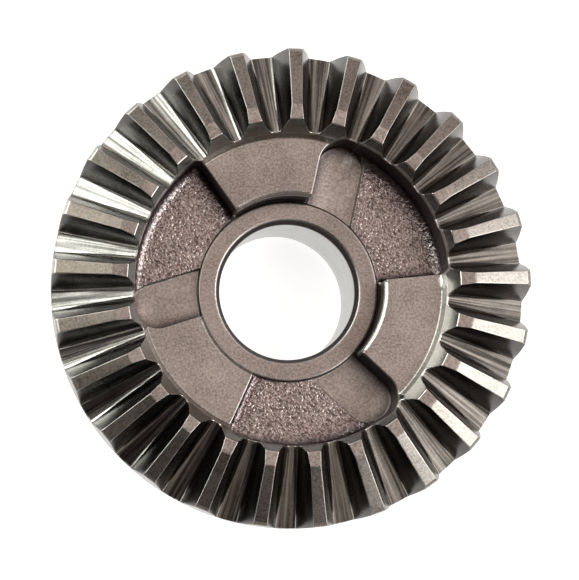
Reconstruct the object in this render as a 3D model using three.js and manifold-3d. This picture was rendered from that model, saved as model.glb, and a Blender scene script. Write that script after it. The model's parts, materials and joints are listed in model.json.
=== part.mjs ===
// A straight bevel gear with clutch dogs on its face, a bush in its bore, and the
// tapered roller bearing that its hub turns in. Millimetres, +Z up. The gear's axis
// is Z, its teeth point up, and z = 0 is the back face of the bearing's outer ring.

import * as THREE from 'three';
import { mergeVertices } from 'three/addons/utils/BufferGeometryUtils.js';
import Module from 'manifold-3d';

const wasm = await Module();
wasm.setup();

const rad = THREE.MathUtils.degToRad;

// Pieces that touch on the real object stand this far apart here.
const FIT_GAP = 0.3;

// Teeth. The tip line runs from the toe flat down to the heel, and the root line
// below it is steeper, so the teeth grow deeper towards the heel.
const TOOTH_COUNT = 25;
const FIRST_TOOTH_ANGLE = rad(2.6);
const HEEL_RADIUS = 45;
const HEEL_CHAMFER_WIDTH = 0.6;
const HEEL_CHAMFER_HEIGHT = 0.6;
const TIP_HEEL_Z = 31.1;
const TOE_FLAT_Z = 34.3;
const TOE_FLAT_OUTER_RADIUS = 33.9;
const TOE_FLAT_INNER_RADIUS = 31.15;
const TOE_BEND_RADIUS = 28.95;
const TOE_BEND_Z = 30.9;
const ROOT_HEEL_RADIUS = 44.6;
const ROOT_HEEL_Z = 22;
const ROOT_SLOPE = 0.585;
const HEEL_SPACE_HALF_WIDTH = 4.4;
const HEEL_FLOOR_HALF_WIDTH = 2;
const TOE_FLOOR_HALF_WIDTH = 1.2;
const TOE_FLOOR_RADIUS = 29.5;

// Clutch dogs, the pockets between them, and the slots milled beside their drive faces.
const DOG_COUNT = 3;
const DOG_INNER_RADIUS = 17.45;
const DOG_BEVEL_WIDTH = 0.68;
const DOG_BEVEL_HEIGHT = 0.55;
const DOG_OUTER_RADIUS = 28.2;
const DOG_TOP_Z = 29.2;
const POCKET_FLOOR_Z = 21.9;
const POCKET_OUTER_RADIUS = 29.65;
const POCKET_START = rad(5.5);
const POCKET_END = rad(68.5);
const DRIVE_FACE_ANGLE = rad(77.5);
const SLOT_WIDTH = 9;
const SLOT_FLOOR_Z = 20.6;
const SLOT_END_CENTRE = 24.9;

// Collar and bore.
const COLLAR_RADIUS = 17.05;
const COLLAR_TOP_Z = 22.5;
const COLLAR_BEVEL = 0.5;
const COLLAR_INNER_RADIUS = 13.55;
const BORE_RADIUS = 12.8;
const BORE_CHAMFER_Z = 20.9;
const BUSH_OUTER_RADIUS = 14;
const BUSH_STOP_Z = 20.6;

// Back of the gear.
const HUB_RADIUS = 17.5;
const HUB_END_Z = 0.4;
const SHOULDER_Z = 14.3;
const RECESS_Z = 17.2;
const RECESS_RADII = [27, 29.5, 36.5, 38.5];
const BACK_RIM_RADIUS = 41;

// Tapered roller bearing. Every roller's axis meets the gear's axis at one apex, so
// the raceways are cones about that apex too.
const ROLLER_COUNT = 20;
const ROLLER_PITCH_RADIUS = 22.5;
const ROLLER_MIDDLE_Z = 6.9;
const ROLLER_TILT = rad(10);
const ROLLER_RADIUS = 2.5;
const ROLLER_LENGTH = 9;
const ROLLER_CHAMFER = 0.3;
const RUNNING_CLEARANCE = 0.09;
const OUTER_RING_RADIUS = 27.5;
const OUTER_RING_WIDTH = 11.5;
const BEARING_WIDTH = 14;
const RIB_CLEARANCE = 0.15;
const SMALL_RIB_RADIUS = 20;
const LARGE_RIB_RADIUS = 22.1;
const CAGE_INNER_OFFSET = 0.65;
const CAGE_THICKNESS = 0.9;
const CAGE_BOTTOM_Z = 1;
const CAGE_TOP_Z = 12.4;
const CAGE_LIP_RADIUS = 20.8;
const WINDOW_LENGTH = 9.5;
const WINDOW_WIDTH = 5.1;
const EDGE_CHAMFER = 0.7;

// Facets round each turned surface.
const GEAR_SEGMENTS = 75;
const RING_SEGMENTS = 60;
const ROLLER_SEGMENTS = 12;

const APEX_DISTANCE = ROLLER_PITCH_RADIUS / Math.sin(ROLLER_TILT);
const APEX_Z = ROLLER_MIDDLE_Z - APEX_DISTANCE * Math.cos(ROLLER_TILT);
const ROLLER_TAPER = Math.atan(ROLLER_RADIUS / APEX_DISTANCE);

const steel = (color, roughness) => new THREE.MeshStandardMaterial({ color, roughness, metalness: 1 });
const MATERIALS = {
  gear: steel(0x8a7a71, 0.4),
  bush: steel(0xc5c6c2, 0.35),
  ring: steel(0xb9bcc0, 0.2),
  roller: steel(0xc9ccd0, 0.15),
  cage: steel(0x8f8e8a, 0.45),
};

// The height of the tooth tips and of the tooth spaces' floor at a radius.
function tipZ(radius) {
  const fall = (TOE_FLAT_Z - TIP_HEEL_Z) / (HEEL_RADIUS - HEEL_CHAMFER_WIDTH - TOE_FLAT_OUTER_RADIUS);
  return TOE_FLAT_Z - fall * (radius - TOE_FLAT_OUTER_RADIUS);
}

function rootZ(radius) {
  return ROOT_HEEL_Z + ROOT_SLOPE * (ROOT_HEEL_RADIUS - radius);
}

// The radius at a height of a cone about the bearing's apex.
function coneRadius(z, halfAngle) {
  return (z - APEX_Z) * Math.tan(halfAngle);
}

// The height, at a radius, of the plane square to a roller's axis at a distance along
// it from the roller's middle.
function rollerEndZ(radius, along) {
  const fall = (radius - ROLLER_PITCH_RADIUS) * Math.sin(ROLLER_TILT);
  return ROLLER_MIDDLE_Z + (along - fall) / Math.cos(ROLLER_TILT);
}

// A closed ring, or a solid whose outline starts and ends on the axis. The outline
// runs anticlockwise in the plane of radius and height.
function turned(outline, segments) {
  const points = outline.map(([radius, z]) => new THREE.Vector2(radius, z));
  if (outline[0][0] > 0) {
    points.push(points[0].clone());
  }
  return new THREE.LatheGeometry(points, segments).rotateX(Math.PI / 2);
}

function solidOf(geometry) {
  const bare = geometry.clone();
  bare.deleteAttribute('normal');
  bare.deleteAttribute('uv');
  const merged = mergeVertices(bare, 1e-4);
  return new wasm.Manifold(new wasm.Mesh({
    numProp: 3,
    vertProperties: new Float32Array(merged.attributes.position.array),
    triVerts: new Uint32Array(merged.index.array),
  }));
}

function geometryOf(solid) {
  const mesh = solid.getMesh();
  const geometry = new THREE.BufferGeometry();
  geometry.setAttribute('position', new THREE.BufferAttribute(mesh.vertProperties, 3));
  geometry.setIndex(new THREE.BufferAttribute(mesh.triVerts, 1));
  geometry.computeVertexNormals();
  return geometry;
}

function piece(name, geometry, material) {
  const mesh = new THREE.Mesh(geometry, material);
  mesh.name = name;
  return mesh;
}

// The turned blank: teeth, dogs and collar are still whole rings.
function gearBlank() {
  const [recessStart, recessFloorStart, recessFloorEnd, recessEnd] = RECESS_RADII;
  const boreRadius = BUSH_OUTER_RADIUS + FIT_GAP;
  return turned([
    [boreRadius, HUB_END_Z],
    [HUB_RADIUS - EDGE_CHAMFER, HUB_END_Z],
    [HUB_RADIUS, HUB_END_Z + EDGE_CHAMFER],
    [HUB_RADIUS, SHOULDER_Z],
    [recessStart, SHOULDER_Z],
    [recessFloorStart, RECESS_Z],
    [recessFloorEnd, RECESS_Z],
    [recessEnd, SHOULDER_Z],
    [BACK_RIM_RADIUS, SHOULDER_Z],
    [ROOT_HEEL_RADIUS, ROOT_HEEL_Z - FIT_GAP],
    [HEEL_RADIUS, TIP_HEEL_Z - HEEL_CHAMFER_HEIGHT],
    [HEEL_RADIUS - HEEL_CHAMFER_WIDTH, TIP_HEEL_Z],
    [TOE_FLAT_OUTER_RADIUS, TOE_FLAT_Z],
    [TOE_FLAT_INNER_RADIUS, TOE_FLAT_Z],
    [TOE_BEND_RADIUS, TOE_BEND_Z],
    [DOG_OUTER_RADIUS, DOG_TOP_Z],
    [DOG_INNER_RADIUS + DOG_BEVEL_WIDTH, DOG_TOP_Z],
    [DOG_INNER_RADIUS, DOG_TOP_Z - DOG_BEVEL_HEIGHT],
    [DOG_INNER_RADIUS, POCKET_FLOOR_Z],
    [COLLAR_RADIUS, POCKET_FLOOR_Z],
    [COLLAR_RADIUS, COLLAR_TOP_Z - COLLAR_BEVEL],
    [COLLAR_RADIUS - COLLAR_BEVEL, COLLAR_TOP_Z],
    [COLLAR_INNER_RADIUS, COLLAR_TOP_Z],
    [BORE_RADIUS, BORE_CHAMFER_Z],
    [BORE_RADIUS, BUSH_STOP_Z],
    [boreRadius, BUSH_STOP_Z],
  ], GEAR_SEGMENTS);
}

// One tooth space, along +X. Its section is drawn with the side as x and the depth
// as y, both 0 to 1 from the floor's corner to the tips, and stretched at each radius.
function toothSpace() {
  const flank = [[-0.2, 0], [-0.02, 0.02], [0.08, 0.13], [0.27, 0.36], [0.6, 0.68], [1, 1], [1.25, 1.2]];
  const outline = new THREE.Shape([
    ...flank.map(([side, depth]) => new THREE.Vector2(1 + side, depth)),
    ...flank.toReversed().map(([side, depth]) => new THREE.Vector2(-1 - side, depth)),
  ]);
  const start = DOG_OUTER_RADIUS - 1;
  const length = HEEL_RADIUS + 1 - start;
  const geometry = new THREE.ExtrudeGeometry(outline, { depth: length, steps: 1, bevelEnabled: false });
  const position = geometry.attributes.position;
  for (let i = 0; i < position.count; i += 1) {
    const radius = start + position.getZ(i);
    const toHeel = (radius - TOE_FLOOR_RADIUS) / (ROOT_HEEL_RADIUS - TOE_FLOOR_RADIUS);
    const floor = THREE.MathUtils.lerp(TOE_FLOOR_HALF_WIDTH, HEEL_FLOOR_HALF_WIDTH, toHeel);
    const top = HEEL_SPACE_HALF_WIDTH * radius / HEEL_RADIUS;
    const side = Math.abs(position.getX(i)) - 1;
    const halfWidth = floor + side * (top - floor);
    const z = THREE.MathUtils.lerp(rootZ(radius), tipZ(radius), position.getY(i));
    position.setXYZ(i, radius, Math.sign(position.getX(i)) * halfWidth, z);
  }
  return solidOf(geometry);
}

// The forged pocket between two dogs.
function pocket() {
  const outline = new THREE.Shape();
  outline.absarc(0, 0, POCKET_OUTER_RADIUS, POCKET_START, POCKET_END, false);
  outline.absarc(0, 0, (COLLAR_RADIUS + DOG_INNER_RADIUS) / 2, POCKET_END, POCKET_START, true);
  const geometry = new THREE.ExtrudeGeometry(outline, { depth: TOE_FLAT_Z, curveSegments: 16, bevelEnabled: false });
  return solidOf(geometry.translate(0, 0, POCKET_FLOOR_Z));
}

// The round-ended slot milled against a dog's drive face, which lies along +X here.
function slot() {
  const inner = COLLAR_RADIUS + FIT_GAP / 2;
  const cornerAngle = -Math.asin(SLOT_WIDTH / inner);
  const outline = new THREE.Shape();
  outline.absarc(SLOT_END_CENTRE, -SLOT_WIDTH / 2, SLOT_WIDTH / 2, -Math.PI / 2, Math.PI / 2, false);
  outline.absarc(0, 0, inner, 0, cornerAngle, true);
  const geometry = new THREE.ExtrudeGeometry(outline, { depth: TOE_FLAT_Z, curveSegments: 14, bevelEnabled: false });
  return solidOf(geometry.translate(0, 0, SLOT_FLOOR_Z));
}

function bevelGear() {
  let gear = solidOf(gearBlank());
  const space = toothSpace();
  for (let i = 0; i < TOOTH_COUNT; i += 1) {
    const turn = THREE.MathUtils.radToDeg(FIRST_TOOTH_ANGLE) + 360 * (i + 0.5) / TOOTH_COUNT;
    gear = gear.subtract(space.rotate([0, 0, turn]));
  }
  for (let i = 0; i < DOG_COUNT; i += 1) {
    const turn = 360 * i / DOG_COUNT;
    const driveFace = turn + THREE.MathUtils.radToDeg(DRIVE_FACE_ANGLE);
    gear = gear.subtract(pocket().rotate([0, 0, turn]));
    gear = gear.subtract(slot().rotate([0, 0, driveFace]));
  }
  return piece('bevel_gear', geometryOf(gear), MATERIALS.gear);
}

function boreBush() {
  const top = BUSH_STOP_Z - FIT_GAP;
  const outline = [
    [BORE_RADIUS, HUB_END_Z + FIT_GAP],
    [BUSH_OUTER_RADIUS, HUB_END_Z + FIT_GAP],
    [BUSH_OUTER_RADIUS, top],
    [BORE_RADIUS, top],
  ];
  return piece('bore_bush', turned(outline, RING_SEGMENTS), MATERIALS.bush);
}

// The inner ring sits on the hub, with a raceway between a small and a large rib.
function innerRing() {
  const bore = HUB_RADIUS + FIT_GAP;
  const raceway = ROLLER_TILT - ROLLER_TAPER;
  const ribAt = ROLLER_LENGTH / 2 + RIB_CLEARANCE;
  const raceStart = rollerEndZ(SMALL_RIB_RADIUS, -ribAt);
  const raceEnd = rollerEndZ(coneRadius(ROLLER_MIDDLE_Z + ribAt, raceway), ribAt);
  const outline = [
    [bore, HUB_END_Z],
    [SMALL_RIB_RADIUS, HUB_END_Z],
    [SMALL_RIB_RADIUS, raceStart],
    [coneRadius(raceStart, raceway), raceStart],
    [coneRadius(raceEnd, raceway), raceEnd],
    [LARGE_RIB_RADIUS, rollerEndZ(LARGE_RIB_RADIUS, ribAt)],
    [LARGE_RIB_RADIUS, BEARING_WIDTH],
    [bore + EDGE_CHAMFER, BEARING_WIDTH],
    [bore, BEARING_WIDTH - EDGE_CHAMFER],
  ];
  return piece('inner_ring', turned(outline, RING_SEGMENTS), MATERIALS.ring);
}

function outerRing() {
  const raceway = ROLLER_TILT + ROLLER_TAPER;
  const outline = [
    [coneRadius(0, raceway), 0],
    [OUTER_RING_RADIUS - EDGE_CHAMFER, 0],
    [OUTER_RING_RADIUS, EDGE_CHAMFER],
    [OUTER_RING_RADIUS, OUTER_RING_WIDTH - EDGE_CHAMFER],
    [OUTER_RING_RADIUS - EDGE_CHAMFER / 2, OUTER_RING_WIDTH],
    [coneRadius(OUTER_RING_WIDTH, raceway), OUTER_RING_WIDTH],
  ];
  return piece('outer_ring', turned(outline, RING_SEGMENTS), MATERIALS.ring);
}

// One roller about its own axis, with its middle at the origin.
function rollerGeometry() {
  const half = ROLLER_LENGTH / 2;
  const radiusAt = (s) => (APEX_DISTANCE + s) * Math.tan(ROLLER_TAPER) - RUNNING_CLEARANCE;
  return turned([
    [0, -half],
    [radiusAt(-half) - ROLLER_CHAMFER, -half],
    [radiusAt(ROLLER_CHAMFER - half), ROLLER_CHAMFER - half],
    [radiusAt(half - ROLLER_CHAMFER), half - ROLLER_CHAMFER],
    [radiusAt(half) - ROLLER_CHAMFER, half],
    [0, half],
  ], ROLLER_SEGMENTS);
}

// Moves a geometry from the origin to a roller's place, its Z along the roller's axis.
function placeAsRoller(geometry, index) {
  return geometry
    .rotateY(ROLLER_TILT)
    .translate(ROLLER_PITCH_RADIUS, 0, ROLLER_MIDDLE_Z)
    .rotateZ(2 * Math.PI * index / ROLLER_COUNT);
}

function rollers() {
  return Array.from({ length: ROLLER_COUNT }, (_, i) => {
    const name = `roller_${String(i + 1).padStart(2, '0')}`;
    return piece(name, placeAsRoller(rollerGeometry(), i), MATERIALS.roller);
  });
}

// A cone of sheet steel just outside the rollers' middles, with a window for each.
function rollerCage() {
  const inner = (z) => coneRadius(z, ROLLER_TILT) + CAGE_INNER_OFFSET;
  const lipTop = CAGE_BOTTOM_Z + CAGE_THICKNESS;
  const shell = turned([
    [CAGE_LIP_RADIUS, CAGE_BOTTOM_Z],
    [inner(CAGE_BOTTOM_Z) + CAGE_THICKNESS, CAGE_BOTTOM_Z],
    [inner(CAGE_TOP_Z) + CAGE_THICKNESS, CAGE_TOP_Z],
    [inner(CAGE_TOP_Z), CAGE_TOP_Z],
    [inner(lipTop), lipTop],
    [CAGE_LIP_RADIUS, lipTop],
  ], RING_SEGMENTS);
  let cage = solidOf(shell);
  for (let i = 0; i < ROLLER_COUNT; i += 1) {
    const window = new THREE.BoxGeometry(2 * ROLLER_RADIUS, WINDOW_WIDTH, WINDOW_LENGTH);
    window.translate(CAGE_INNER_OFFSET + CAGE_THICKNESS / 2, 0, 0);
    cage = cage.subtract(solidOf(placeAsRoller(window, i)));
  }
  return piece('roller_cage', geometryOf(cage), MATERIALS.cage);
}

const assembly = new THREE.Group();
assembly.add(bevelGear(), boreBush(), innerRing(), rollerCage(), outerRing(), ...rollers());

export default assembly;
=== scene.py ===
"""A straight bevel dog gear on its hub bearing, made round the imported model.

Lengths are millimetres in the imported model's frame until a mesh is written, which is in metres.
Angles are radians, and 0 is along +X.
"""

import json
import math

import bmesh
import bpy
import numpy as np
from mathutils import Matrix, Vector, noise
from mathutils.geometry import delaunay_2d_cdt


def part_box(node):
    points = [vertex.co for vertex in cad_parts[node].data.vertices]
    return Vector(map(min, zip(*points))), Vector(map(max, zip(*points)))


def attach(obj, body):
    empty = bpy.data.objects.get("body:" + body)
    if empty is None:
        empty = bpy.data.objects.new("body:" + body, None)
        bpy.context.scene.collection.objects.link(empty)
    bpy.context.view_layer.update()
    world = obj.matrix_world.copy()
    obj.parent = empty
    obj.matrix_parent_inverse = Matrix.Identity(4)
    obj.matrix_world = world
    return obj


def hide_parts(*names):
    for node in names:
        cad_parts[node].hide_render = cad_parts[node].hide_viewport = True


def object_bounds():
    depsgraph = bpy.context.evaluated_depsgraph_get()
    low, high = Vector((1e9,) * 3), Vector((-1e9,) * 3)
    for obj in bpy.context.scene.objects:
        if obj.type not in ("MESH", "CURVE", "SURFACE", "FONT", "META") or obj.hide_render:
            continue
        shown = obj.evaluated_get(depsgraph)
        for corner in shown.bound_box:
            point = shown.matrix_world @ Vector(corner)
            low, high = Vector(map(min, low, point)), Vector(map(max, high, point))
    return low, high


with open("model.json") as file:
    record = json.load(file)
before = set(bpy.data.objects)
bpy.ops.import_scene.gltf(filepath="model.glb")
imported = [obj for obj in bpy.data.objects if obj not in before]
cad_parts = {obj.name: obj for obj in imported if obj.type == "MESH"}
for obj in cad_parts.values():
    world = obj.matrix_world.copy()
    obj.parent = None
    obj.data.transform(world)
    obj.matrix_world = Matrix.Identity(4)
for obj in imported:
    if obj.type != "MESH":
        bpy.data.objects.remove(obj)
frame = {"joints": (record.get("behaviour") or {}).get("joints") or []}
cad_low, cad_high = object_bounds()

MM = 0.001
TURN = 2 * math.pi
rad = math.radians

# The gear's heights and radii.
TOOTH_COUNT = 25
PITCH = TURN / TOOTH_COUNT
FIRST_TOOTH_ANGLE = rad(2.6)
GEAR_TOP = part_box("bevel_gear")[1].z / MM
HUB_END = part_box("bevel_gear")[0].z / MM
HEEL_RADIUS = 45.0
HEEL_CHAMFER = 0.6
TIP_END = HEEL_RADIUS - HEEL_CHAMFER
TIP_HEEL_Z = 31.1
TOE_FLAT_RADII = (31.15, 33.9)
TOE_BEND = (28.95, 30.9)
ROOT_HEEL = (44.6, 22.0)
ROOT_SLOPE = 0.585
HEEL_SPACE_HALF_WIDTH = 4.4
HEEL_FLOOR_HALF_WIDTH = 2.0
TOE_FLOOR_HALF_WIDTH = 1.2
TOE_FLOOR_RADIUS = 29.5
LEAST_HALF_WIDTH = 0.25
FLOOR_DISH = 0.12
HEEL_BOTTOM = (44.6, 21.7)

# How softly the toothed face's surfaces meet: a space's floor and its flanks at the toe and the
# heel, a flank and the land, the turned faces up to the tips, and the heel's chamfer.
ROOT_FILLETS = (2.6, 0.6)
EDGE_BLEND = 0.2
CONE_BLEND = 0.2
TIP_BLEND = 0.08
CHAMFER_BLEND = 0.1

# The dogs, the forged pockets between them and the slots milled beside them.
DOG_COUNT = 3
DOG_RADII = (17.45, 28.2)
DOG_TOP = 29.2
POCKET_FLOOR = 21.9
POCKET_RADIUS = 29.65
POCKET_START = rad(5.5)
POCKET_END = rad(68.5)
DRIVE_ANGLE = rad(77.5)
SLOT_WIDTH = 9.0
SLOT_FLOOR = 20.6
SLOT_END_CENTRE = 24.9
OUTER_FILLET = 2.2
END_FILLET = 1.5
SEAM_RADIUS = 30.2

# The radii where dog_outline joins its runs, in their order.
CORNER_RADII = (0.0, 0.0, 0.5, 0.6, 1.6)

# The rounds along the sunk middle's walls. At the top each pair is how far out from the outline
# and how far down, with a wider bevel on the dogs' inner walls. At the foot it is how far in and
# how far up, with a smaller round on the inner walls.
EDGE_ROUND = ((0.34, 0.0), (0.22, 0.0), (0.12, 0.024), (0.05, 0.08), (0.0, 0.22))
INNER_BEVEL = ((0.86, 0.0), (0.72, 0.0), (0.62, 0.05), (0.06, 0.47), (0.0, 0.6))
FOOT = ((0.14, 0.3), (0.18, 0.15), (0.27, 0.05), (0.42, 0.0), (0.52, 0.0))
INNER_FOOT_SHARE = 0.3
INNER_WALL_BLEND = (0.1, 0.7)
WALL_SHARES = (0.08, 0.36, 0.64, 0.92)

# A slot's floor: its fillets at the drive face and round its end, its dish's depth and width, and
# where the step down into it starts and ends, measured out from its rim.
SLOT_FILLETS = (0.4, 0.7)
SLOT_DISH = (0.5, 6.0)
SLOT_STEP = (-0.02, 0.16)

# The forged grain's depth, and the fineness and share of each of its noises. Then the painted shade
# in the corners of the sunk floor: how far it reaches from a wall, and its colour.
FORGED_RELIEF = 0.085
LUMPS = ((1.9, 0.6), (3.6, 0.4))
CORNER_SHADE_REACH = 3.4
CORNER_SHADE_COLOUR = (0.035, 0.024, 0.028)

# The collar, the bore and the bush.
COLLAR_RADIUS = 17.05
COLLAR_TOP = 22.5
COLLAR_BEVEL = 0.3
BORE_EDGE = (13.55, 22.5)
BORE_RADIUS = 12.8
BORE_CHAMFER_Z = 20.9
BUSH_SEAT_RADIUS = 14.3
BUSH_STOP_Z = 20.6

# The small round at the collar's foot, as steps out over the floor and steps up the collar.
COLLAR_FOOT_OUT = (0.12, 0.04)
COLLAR_FOOT_UP = (0.12, 0.03)

# The back of the gear, as its turned outline from the heel to the hub.
SHOULDER_Z = 14.3
RECESS_Z = 17.2
RECESS_RADII = (38.5, 36.5, 29.5, 27.0)
BACK_RIM_RADIUS = 41.0
HUB_RADIUS = 17.5
HUB_CHAMFER = 0.7
BACK_ROUND = 0.3

# Steps between the points of the triangulated middle of the face, and how far its lines and loose
# points keep from the outline, from a slot's rim and from the dogs' inner walls.
OUTLINE_STEP = 0.2
RIM_STEP = 0.25
LOOSE_STEPS = (0.26, 0.3)
RIM_CLEARANCE = 0.62
CONE_CLEARANCE = 0.44
FLOOR_CLEARANCE = 0.66
TOP_CLEARANCE = 0.5
SLOT_CLEARANCE = 0.42
INNER_CLEARANCE = 1.15

# Where lines of points run along a slot's rim: how far out of it, and from how near the axis.
RIM_GAPS = (-0.3, -0.1, 0.0, 0.08, 0.16, 0.3)
RIM_START = 12


# ---- numbers ----


def smooth_min(a, b, blend):
    near = np.clip(1 - np.abs(a - b) / blend, 0, None)
    return np.minimum(a, b) - near * near * blend / 4


def smooth_max(a, b, blend):
    return -smooth_min(-a, -b, blend)


def smooth_step(value, start, end):
    t = np.clip((value - start) / (end - start), 0, 1)
    return t * t * (3 - 2 * t)


def softened(points):
    """A polyline with its corners cut three times, which tends to a smooth curve."""
    points = np.array(points, float)
    for _ in range(3):
        a, b = points[:-1], points[1:]
        cut = np.stack([0.75 * a + 0.25 * b, 0.25 * a + 0.75 * b], 1).reshape(-1, 2)
        points = np.vstack([points[:1], cut[1:-1], points[-1:]])
    return points


def polar(points):
    return np.hypot(points[:, 0], points[:, 1]), np.arctan2(points[:, 1], points[:, 0])


def turned_by(points, angle):
    c, s = math.cos(angle), math.sin(angle)
    return np.array(points, float) @ np.array([[c, s], [-s, c]])


# ---- the gear's toothed face as a height over the plane ----

# A flank's section: how far out from the floor's corner, then how far up to the tips.
FLANK = softened([(-0.4, -0.5), (0, 0), (0.27, 0.36), (0.6, 0.68), (1, 1), (1.3, 1.24)])


def root_z(r):
    return ROOT_HEEL[1] + ROOT_SLOPE * (ROOT_HEEL[0] - r)


def tip_z(r):
    fall = (GEAR_TOP - TIP_HEEL_Z) / (TIP_END - TOE_FLAT_RADII[1])
    return GEAR_TOP - fall * (r - TOE_FLAT_RADII[1])


def blank_z(r):
    """The turned face: dog tops, toe cone, toe flat, tooth tips and heel chamfer."""
    first = DOG_TOP + (r - DOG_RADII[1]) * (TOE_BEND[1] - DOG_TOP) / (TOE_BEND[0] - DOG_RADII[1])
    slope = (GEAR_TOP - TOE_BEND[1]) / (TOE_FLAT_RADII[0] - TOE_BEND[0])
    second = TOE_BEND[1] + (r - TOE_BEND[0]) * slope
    rise = smooth_max(np.minimum(first, second), DOG_TOP, CONE_BLEND)
    chamfer = TIP_HEEL_Z - (r - HEEL_RADIUS + HEEL_CHAMFER)
    top = smooth_min(smooth_min(rise, GEAR_TOP, CONE_BLEND), tip_z(r), TIP_BLEND)
    return smooth_min(top, chamfer, CHAMFER_BLEND)


def to_heel(r):
    return (r - TOE_FLOOR_RADIUS) / (ROOT_HEEL[0] - TOE_FLOOR_RADIUS)


def floor_half_width(r):
    return TOE_FLOOR_HALF_WIDTH + (HEEL_FLOOR_HALF_WIDTH - TOE_FLOOR_HALF_WIDTH) * to_heel(r)


def flank_unit(r):
    """The width that a flank's section is stretched to."""
    return HEEL_SPACE_HALF_WIDTH * r / HEEL_RADIUS - floor_half_width(r)


def space_z(r, across):
    """The surface of a tooth space at a distance across from its middle."""
    floor = floor_half_width(r)
    depth = np.interp((across - floor) / flank_unit(r), FLANK[:, 0], FLANK[:, 1])
    bed = root_z(r) + FLOOR_DISH * (across / floor) ** 2
    flank = root_z(r) + FLOOR_DISH + depth * (tip_z(r) - root_z(r))
    toe, heel = ROOT_FILLETS
    return smooth_max(bed, flank, toe + (heel - toe) * to_heel(r))


def edge_across(r):
    """How far from its middle a tooth space meets the turned face."""
    depth = (blank_z(r) - root_z(r) - FLOOR_DISH) / (tip_z(r) - root_z(r))
    side = np.interp(depth, FLANK[:, 1], FLANK[:, 0])
    return np.maximum(floor_half_width(r) + side * flank_unit(r), LEAST_HALF_WIDTH)


def across_space(r, angle):
    """How far points lie from the middle of the tooth space that they are nearest."""
    turn = (angle - FIRST_TOOTH_ANGLE) / PITCH
    return np.abs(turn - np.floor(turn) - 0.5) * PITCH * r


def face_z(r, angle):
    return smooth_min(blank_z(r), space_z(r, across_space(r, angle)), EDGE_BLEND)


# ---- outlines in the plane ----

CORNER_TURN = rad(12)
LEAST_STRETCH = 0.7


def on_circle(radius, angles):
    return np.stack([radius * np.cos(angles), radius * np.sin(angles)], 1)


def arc(centre, radius, start, end, step):
    count = max(3, int(abs(end - start) * radius / step) + 1)
    return np.array(centre) + on_circle(radius, np.linspace(start, end, count))


def line(start, end, step):
    start, end = np.array(start, float), np.array(end, float)
    count = max(2, int(np.linalg.norm(end - start) / step) + 1)
    return start + (end - start) * np.linspace(0, 1, count)[:, None]


def joined_round(runs, radii):
    """Runs of points joined end to start into one closed outline, with a radius at each join."""
    trimmed = [run.copy() for run in runs]
    corners = []
    for i, radius in enumerate(radii):
        j = (i + 1) % len(runs)
        corner = runs[j][0]
        before = corner - runs[i][-2]
        after = runs[j][1] - corner
        before, after = before / np.linalg.norm(before), after / np.linalg.norm(after)
        bend = math.acos(float(np.clip(before @ after, -1, 1)))
        reach = radius * math.tan(bend / 2)
        trimmed[i] = trimmed[i][np.linalg.norm(trimmed[i] - corner, axis=1) > reach]
        trimmed[j] = trimmed[j][np.linalg.norm(trimmed[j] - corner, axis=1) > reach]
        side = math.copysign(1, before[0] * after[1] - before[1] * after[0])
        centre = corner - before * reach + side * radius * np.array([-before[1], before[0]])
        from_angle = math.atan2(*(corner - before * reach - centre)[::-1])
        count = max(4, int(bend / CORNER_TURN))
        sweep = from_angle + side * bend * np.linspace(0, 1, count)
        corners.append(centre + on_circle(radius, sweep))
    return np.vstack([part for pair in zip(trimmed, corners) for part in pair])


def evened(outline, step):
    """The closed outline with points at an even step."""
    closed = np.vstack([outline, outline[:1]])
    length = np.concatenate([[0], np.cumsum(np.linalg.norm(np.diff(closed, axis=0), axis=1))])
    at = np.linspace(0, length[-1], int(length[-1] / step), endpoint=False)
    return np.stack([np.interp(at, length, closed[:, 0]), np.interp(at, length, closed[:, 1])], 1)


def offset(outline, distance):
    """The closed outline moved to its right, which is away from the axis on the dogs' outline."""
    ahead = np.roll(outline, -1, 0) - outline
    ahead /= np.linalg.norm(ahead, axis=1)[:, None]
    back = np.roll(ahead, 1, 0)
    mean = ahead + back
    mean /= np.linalg.norm(mean, axis=1)[:, None]
    right = np.stack([mean[:, 1], -mean[:, 0]], 1)
    stretch = 1 / np.clip((mean * ahead).sum(1), LEAST_STRETCH, None)
    return outline + right * (distance * stretch)[:, None]


def dog_outline():
    """The closed outline between the sunk middle of the face and the dogs and teeth."""
    step = OUTLINE_STEP
    half = SLOT_WIDTH / 2
    slot_centre = np.array([SLOT_END_CENTRE, -half])
    reach = np.hypot(*slot_centre)
    spread = math.acos((POCKET_RADIUS**2 + reach**2 - half**2) / (2 * POCKET_RADIUS * reach))
    meeting = math.atan2(-half, SLOT_END_CENTRE) - spread
    from_centre = POCKET_RADIUS * np.array([math.cos(meeting), math.sin(meeting)]) - slot_centre
    arc_start = math.atan2(from_centre[1], from_centre[0])
    runs, radii = [], []
    for i in range(DOG_COUNT):
        turn = TURN * i / DOG_COUNT
        drive = turn + DRIVE_ANGLE
        next_start = turn + POCKET_START + TURN / DOG_COUNT
        toward = np.array([math.cos(next_start), math.sin(next_start)])
        runs += [
            arc((0, 0), POCKET_RADIUS, turn + POCKET_START, drive + meeting, step),
            turned_by(arc(slot_centre, half, arc_start, TURN / 4, step), drive),
            turned_by(line((SLOT_END_CENTRE, 0), (DOG_RADII[0], 0), step), drive),
            arc((0, 0), DOG_RADII[0], drive, next_start, step),
            line(toward * DOG_RADII[0], toward * POCKET_RADIUS, step),
        ]
        radii += CORNER_RADII
    return evened(joined_round(runs, radii), step)


def in_drive_frame(points):
    """Points turned so that the drive face of their own pocket lies along +X."""
    r, angle = polar(points)
    middle = (POCKET_START + DRIVE_ANGLE) / 2
    local = (angle - middle + TURN / 6) % (TURN / DOG_COUNT) + middle - TURN / 6
    return r, local, on_circle(r, local - DRIVE_ANGLE)


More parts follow.
